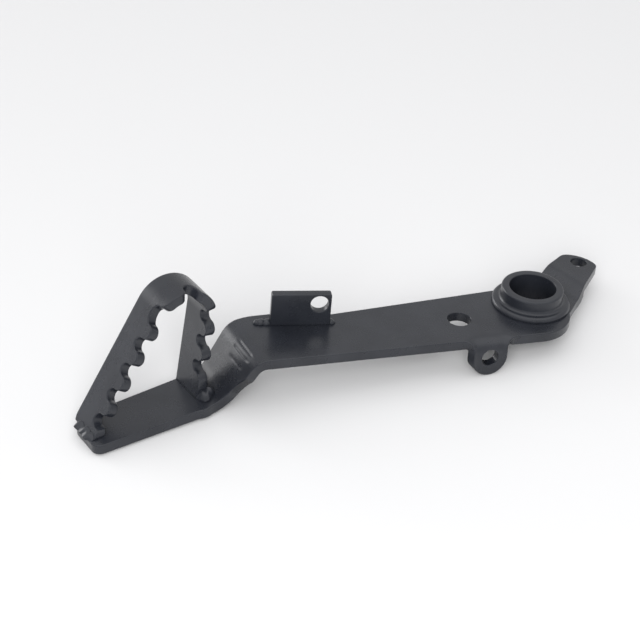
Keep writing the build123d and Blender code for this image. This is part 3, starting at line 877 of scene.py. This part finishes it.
class PEDAL_OT_tread(bpy.types.Operator):
    """Bend the toothed tread strip into its loop"""

    bl_idname = "pedal.tread"
    bl_label = "Tread strip"

    def execute(self, context):
        """Carry the strip's rounded section along its bent middle line, from the far edge to the teeth.

        Each ring joins a point of the far edge to a point of the toothed edge over both faces, and
        each edge is two quarter circles with a flat between, set in by the line's tangent turned inwards.
        """
        sizes = context.scene.pedal_tread
        run, cut, even = toothed_edge(sizes)
        near = np.stack([run, cut - sizes.width], -1)
        lift = np.clip(sizes.corner - even - sizes.thickness / 2 / np.tan(sizes.tip_leg), 0, None)
        far = np.stack([even, np.sqrt(sizes.corner**2 - lift**2) - sizes.corner], -1)
        bend = np.linspace(0, np.pi / 2, 6)
        back = sizes.edge * (1 - np.sin(bend))[:, None, None]
        near_round = near + back * left_of(unit(np.gradient(near, axis=0)))
        far_round = far - back * left_of(unit(np.gradient(far, axis=0)))
        share_of = STRIP_LINES[:, None, None]
        face = far_round[0] * (1 - share_of) + near_round[0] * share_of
        upper = np.concatenate([far_round[::-1], face, near_round])
        section = np.concatenate([upper, upper[::-1]])
        high = sizes.thickness / 2 - sizes.edge * (1 - np.cos(bend))
        level = np.full(len(STRIP_LINES), sizes.thickness / 2)
        out = np.concatenate([high[::-1], level, high])
        out = np.concatenate([out, -out[::-1]])[:, None]
        points = on_tread(sizes, section[..., 0], section[..., 1], out)
        finish = paint("tread_paint", context.scene.pedal_paint)
        ring_piece("tread_strip_bent", [points.transpose(1, 0, 2)], ["tread_strip"], finish)
        return {"FINISHED"}


def bead_rings(beads, seam, floor, wall, growth):
    """Rings of a weld bead in a seam: from the floor's side over the bulge to the wall's side.

    At a distance along the seam the bulge is a round of the bead's size times its growth, swelled by a
    ripple whose crests curve back towards the floor and the wall, and by slower waves that make it
    lumpy. It tapers over each end by a quarter of an ellipse. The seam's own point closes each ring.
    """
    floor = np.broadcast_to(floor, seam.shape)
    t = np.linspace(0, 1, len(seam))
    rise, fall = (np.sqrt(1 - np.clip(1 - part / beads.taper, 0, 1) ** 2) for part in (t, 1 - t))
    taper = np.maximum(rise * fall, beads.least)[:, None]
    step = np.linalg.norm(np.diff(seam, axis=0), axis=1)
    turned = beads.corner * beads.size * np.linalg.norm(np.diff(floor, axis=0), axis=1)
    run = np.concatenate([[0], np.cumsum(step + turned)])[:, None]
    over = np.linspace(0, 1, 21)
    crest = run + beads.bow * beads.size * (over - 0.5) ** 2
    wave = np.sin(np.pi * crest / beads.ripple_pitch) ** 2 - beads.ripple_level
    slow = np.sin(2 * np.pi * run / beads.long_lump + over)
    fast = np.sin(2 * np.pi * run / beads.short_lump - 2 * over)
    swell = 1 - beads.ripple + beads.ripple * wave + beads.lumps * (slow + fast)
    swing = over[:, None] * np.pi / 2
    bulge = np.cos(swing) * floor[:, None] + np.sin(swing) * wall
    skin = seam[:, None] + (beads.size * growth * taper * swell)[..., None] * bulge
    return np.concatenate([skin, seam[:, None]], 1)


class PEDAL_OT_tread_beads(bpy.types.Operator):
    """Lay the two weld beads at the tread's feet"""

    bl_idname = "pedal.tread_beads"
    bl_label = "Tread beads"

    def execute(self, context):
        """Run one bead along the tip leg's outer foot, and one round the near end of the heel leg.

        The heel bead runs towards the near edge, turns there, and runs on along the leg's end.
        """
        beads, sizes = context.scene.pedal_beads, context.scene.pedal_tread
        origin, along, across, off = tread_axes(sizes)
        finish = paint("bead_paint", context.scene.pedal_paint, **BEAD_PAINT)
        t = np.linspace(0, 1, 90)[:, None]
        over = np.interp(t, [0, 1], [-beads.tip_start, -sizes.width])
        seam = origin - sizes.span * along + over * across
        wall = np.cos(sizes.tip_leg) * along + np.sin(sizes.tip_leg) * off
        rings = bead_rings(beads, seam, -along, wall, beads.tip_growth)
        ring_piece("tread_tip_bead", [rings], ["tread_tip_weld"], finish)

        outer = sizes.thickness / np.sin(sizes.heel_leg)
        turn_at = [0.0, 0.45, 0.62, 1.0]
        ahead = np.interp(t, turn_at, [outer, outer, outer, 0.0])
        over = np.interp(t, turn_at, [beads.heel_lap, 0.0, 0.0, 0.0]) - sizes.width
        swing = np.interp(t, turn_at, [0.0, 0.0, np.pi / 2, np.pi / 2])
        floor = np.cos(swing) * along - np.sin(swing) * across
        seam = origin + ahead * along + over * across - beads.sunk * floor
        wall = np.cos(sizes.heel_leg) * along + np.sin(sizes.heel_leg) * off
        rings = bead_rings(beads, seam, floor, wall, beads.heel_growth)
        ring_piece("tread_heel_bead", [rings], ["tread_heel_weld"], finish)
        return {"FINISHED"}


class PEDAL_OT_tab_beads(bpy.types.Operator):
    """Lay the weld beads at the tab's two ends"""

    bl_idname = "pedal.tab_beads"
    bl_label = "Tab beads"

    def execute(self, context):
        """Lay a low ridge on the arm from each end of the tab: half rounds that shrink to a blunt end."""
        beads, sizes = context.scene.pedal_beads, context.scene.pedal_tab
        ahead, back = tab_axes(sizes)
        middle = np.array(sizes.place) + back * sizes.thickness / 2
        t = np.linspace(0, 1, 60)[:, None]
        swing = np.linspace(0, np.pi, 25)
        end = 0.998
        ridges = []
        for side, run in ((-1, beads.tab_run), (1, 0.0)):
            reach = t * (run + beads.size)
            blunt = np.sqrt(1 - np.clip((reach - run) / beads.size, 0, end) ** 2)
            crest = reach + beads.tab_bow * np.sin(swing)
            wave = np.abs(np.sin(np.pi * crest / beads.ripple_pitch)) - beads.ripple_level
            swell = 1 - beads.tab_ripple + beads.tab_ripple * wave
            grow = (beads.tab_height * beads.size * blunt * swell)[..., None]
            out = side * (sizes.width / 2 + reach)[..., None]
            bulge = np.cos(swing)[:, None] * back + np.sin(swing)[:, None] * UP
            ridges.append(middle + out * ahead + grow * bulge)
        finish = paint("tab_bead_paint", context.scene.pedal_paint, **BEAD_PAINT)
        ring_piece("tab_beads", ridges, ["tab_welds"], finish)
        return {"FINISHED"}


class PEDAL_OT_stage(bpy.types.Operator):
    """Set the floor, the light and the camera"""

    bl_idname = "pedal.stage"
    bl_label = "Stage"

    def execute(self, context):
        """Lay the floor under the pedal's three resting points, light it softly and set the camera.

        The surround is brighter about one direction and overhead, by a smooth step of the cosine off it.
        """
        scene, look = context.scene, context.scene.pedal_stage

        half = 2.5
        x = np.array([-half, half, half, -half])
        y = np.array([-half, -half, half, half])
        z = look.floor_height + look.floor_x * x + look.floor_y * y
        mesh = bpy.data.meshes.new("floor")
        mesh.from_pydata(np.stack([x, y, z], -1), [], [(0, 1, 2, 3)])
        floor = bpy.data.objects.new("floor", mesh)
        scene.collection.objects.link(floor)
        finish = bpy.data.materials.new("floor_paper")
        finish.use_nodes = True
        shader = finish.node_tree.nodes["Principled BSDF"]
        shader.inputs["Base Color"].default_value = (*look.floor, 1.0)
        shader.inputs["Roughness"].default_value = 0.75
        shader.inputs["Specular IOR Level"].default_value = 0.2
        mesh.materials.append(finish)

        world = bpy.data.worlds.new("surround")
        world.use_nodes = True
        tree = world.node_tree
        sky = tree.nodes["Background"]
        sky.inputs["Color"].default_value = (*look.sky, 1.0)
        where = tree.nodes.new("ShaderNodeTexCoord")
        both = tree.nodes.new("ShaderNodeMath")
        side = Vector(look.bright_side).normalized()
        up = Vector((-look.floor_x, -look.floor_y, 1.0)).normalized()
        lobes = [
            (side, look.bright_from, look.bright_to, look.surround, look.bright),
            (up, look.over_from, look.over_to, 0.0, look.over),
        ]
        for term, (towards, *levels) in enumerate(lobes):
            facing = tree.nodes.new("ShaderNodeVectorMath")
            facing.operation = "DOT_PRODUCT"
            facing.inputs[1].default_value = towards
            tree.links.new(where.outputs["Generated"], facing.inputs[0])
            glow = tree.nodes.new("ShaderNodeMapRange")
            glow.interpolation_type = "SMOOTHSTEP"
            for socket, value in zip(("From Min", "From Max", "To Min", "To Max"), levels):
                glow.inputs[socket].default_value = value
            tree.links.new(facing.outputs["Value"], glow.inputs["Value"])
            tree.links.new(glow.outputs["Result"], both.inputs[term])
        tree.links.new(both.outputs["Value"], sky.inputs["Strength"])
        scene.world = world

        front = up * look.front_rise + Vector(look.front_place)
        lights = [
            ("front_light", front, look.front_size, look.front_light),
            ("left_light", Vector(look.left_place), look.left_size, look.left_light),
        ]
        for name, off, size, power in lights:
            data = bpy.data.lights.new(name, "AREA")
            data.shape = "SQUARE"
            data.size = size
            data.energy = power
            lamp = bpy.data.objects.new(name, data)
            scene.collection.objects.link(lamp)
            lamp.location = Vector(look.middle) + off
            lamp.rotation_mode = "QUATERNION"
            lamp.rotation_quaternion = (-off).to_track_quat("-Z", "Y")
            lamp.visible_glossy = False

        back = -Vector(look.look).normalized()
        right = Vector(look.up).cross(back).normalized()
        turn = Matrix((right, back.cross(right), back)).transposed().to_4x4()
        data = bpy.data.cameras.new("camera")
        data.sensor_width = 36.0
        data.lens = look.lens
        data.clip_start = 0.01
        data.clip_end = 20.0
        camera = bpy.data.objects.new("camera", data)
        scene.collection.objects.link(camera)
        camera.matrix_world = Matrix.Translation(Vector(look.eye)) @ turn
        scene.camera = camera
        scene.view_settings.view_transform = "Standard"
        return {"FINISHED"}


class PEDAL_PT_panel(bpy.types.Panel):
    """Lists the pedal's pieces and their sizes"""

    bl_idname = "PEDAL_PT_panel"
    bl_label = "Rear Brake Pedal"
    bl_space_type = "VIEW_3D"
    bl_region_type = "UI"
    bl_category = "Pedal"

    def draw(self, context):
        """Show each piece's button, then the values of each group."""
        for operator in OPERATORS:
            self.layout.operator(operator.bl_idname)
        for name in GROUPS:
            box = self.layout.box()
            box.label(text=name.replace("_", " ").capitalize())
            group = getattr(context.scene, name)
            for key in group.__annotations__:
                box.prop(group, key)


GROUPS = {
    "pedal_plate": PedalPlate,
    "pedal_tube": PedalTube,
    "pedal_tab": PedalTab,
    "pedal_tread": PedalTread,
    "pedal_beads": PedalBeads,
    "pedal_paint": PedalPaint,
    "pedal_stage": PedalStage,
}
OPERATORS = [
    PEDAL_OT_plate,
    PEDAL_OT_tube,
    PEDAL_OT_tab,
    PEDAL_OT_tread,
    PEDAL_OT_tread_beads,
    PEDAL_OT_tab_beads,
    PEDAL_OT_stage,
]


def register():
    """Register the classes and hang the value groups on the scene."""
    for cls in [*GROUPS.values(), *OPERATORS, PEDAL_PT_panel]:
        bpy.utils.register_class(cls)
    for name, group in GROUPS.items():
        setattr(bpy.types.Scene, name, bpy.props.PointerProperty(type=group))


def unregister():
    """Take the value groups and the classes away again."""
    for name in GROUPS:
        delattr(bpy.types.Scene, name)
    for cls in reversed([*GROUPS.values(), *OPERATORS, PEDAL_PT_panel]):
        bpy.utils.unregister_class(cls)


def main():
    """Build every piece in order."""
    register()
    for operator in OPERATORS:
        group, name = operator.bl_idname.split(".")
        getattr(getattr(bpy.ops, group), name)()
    bpy.context.view_layer.update()


if __name__ == "__main__":
    main()
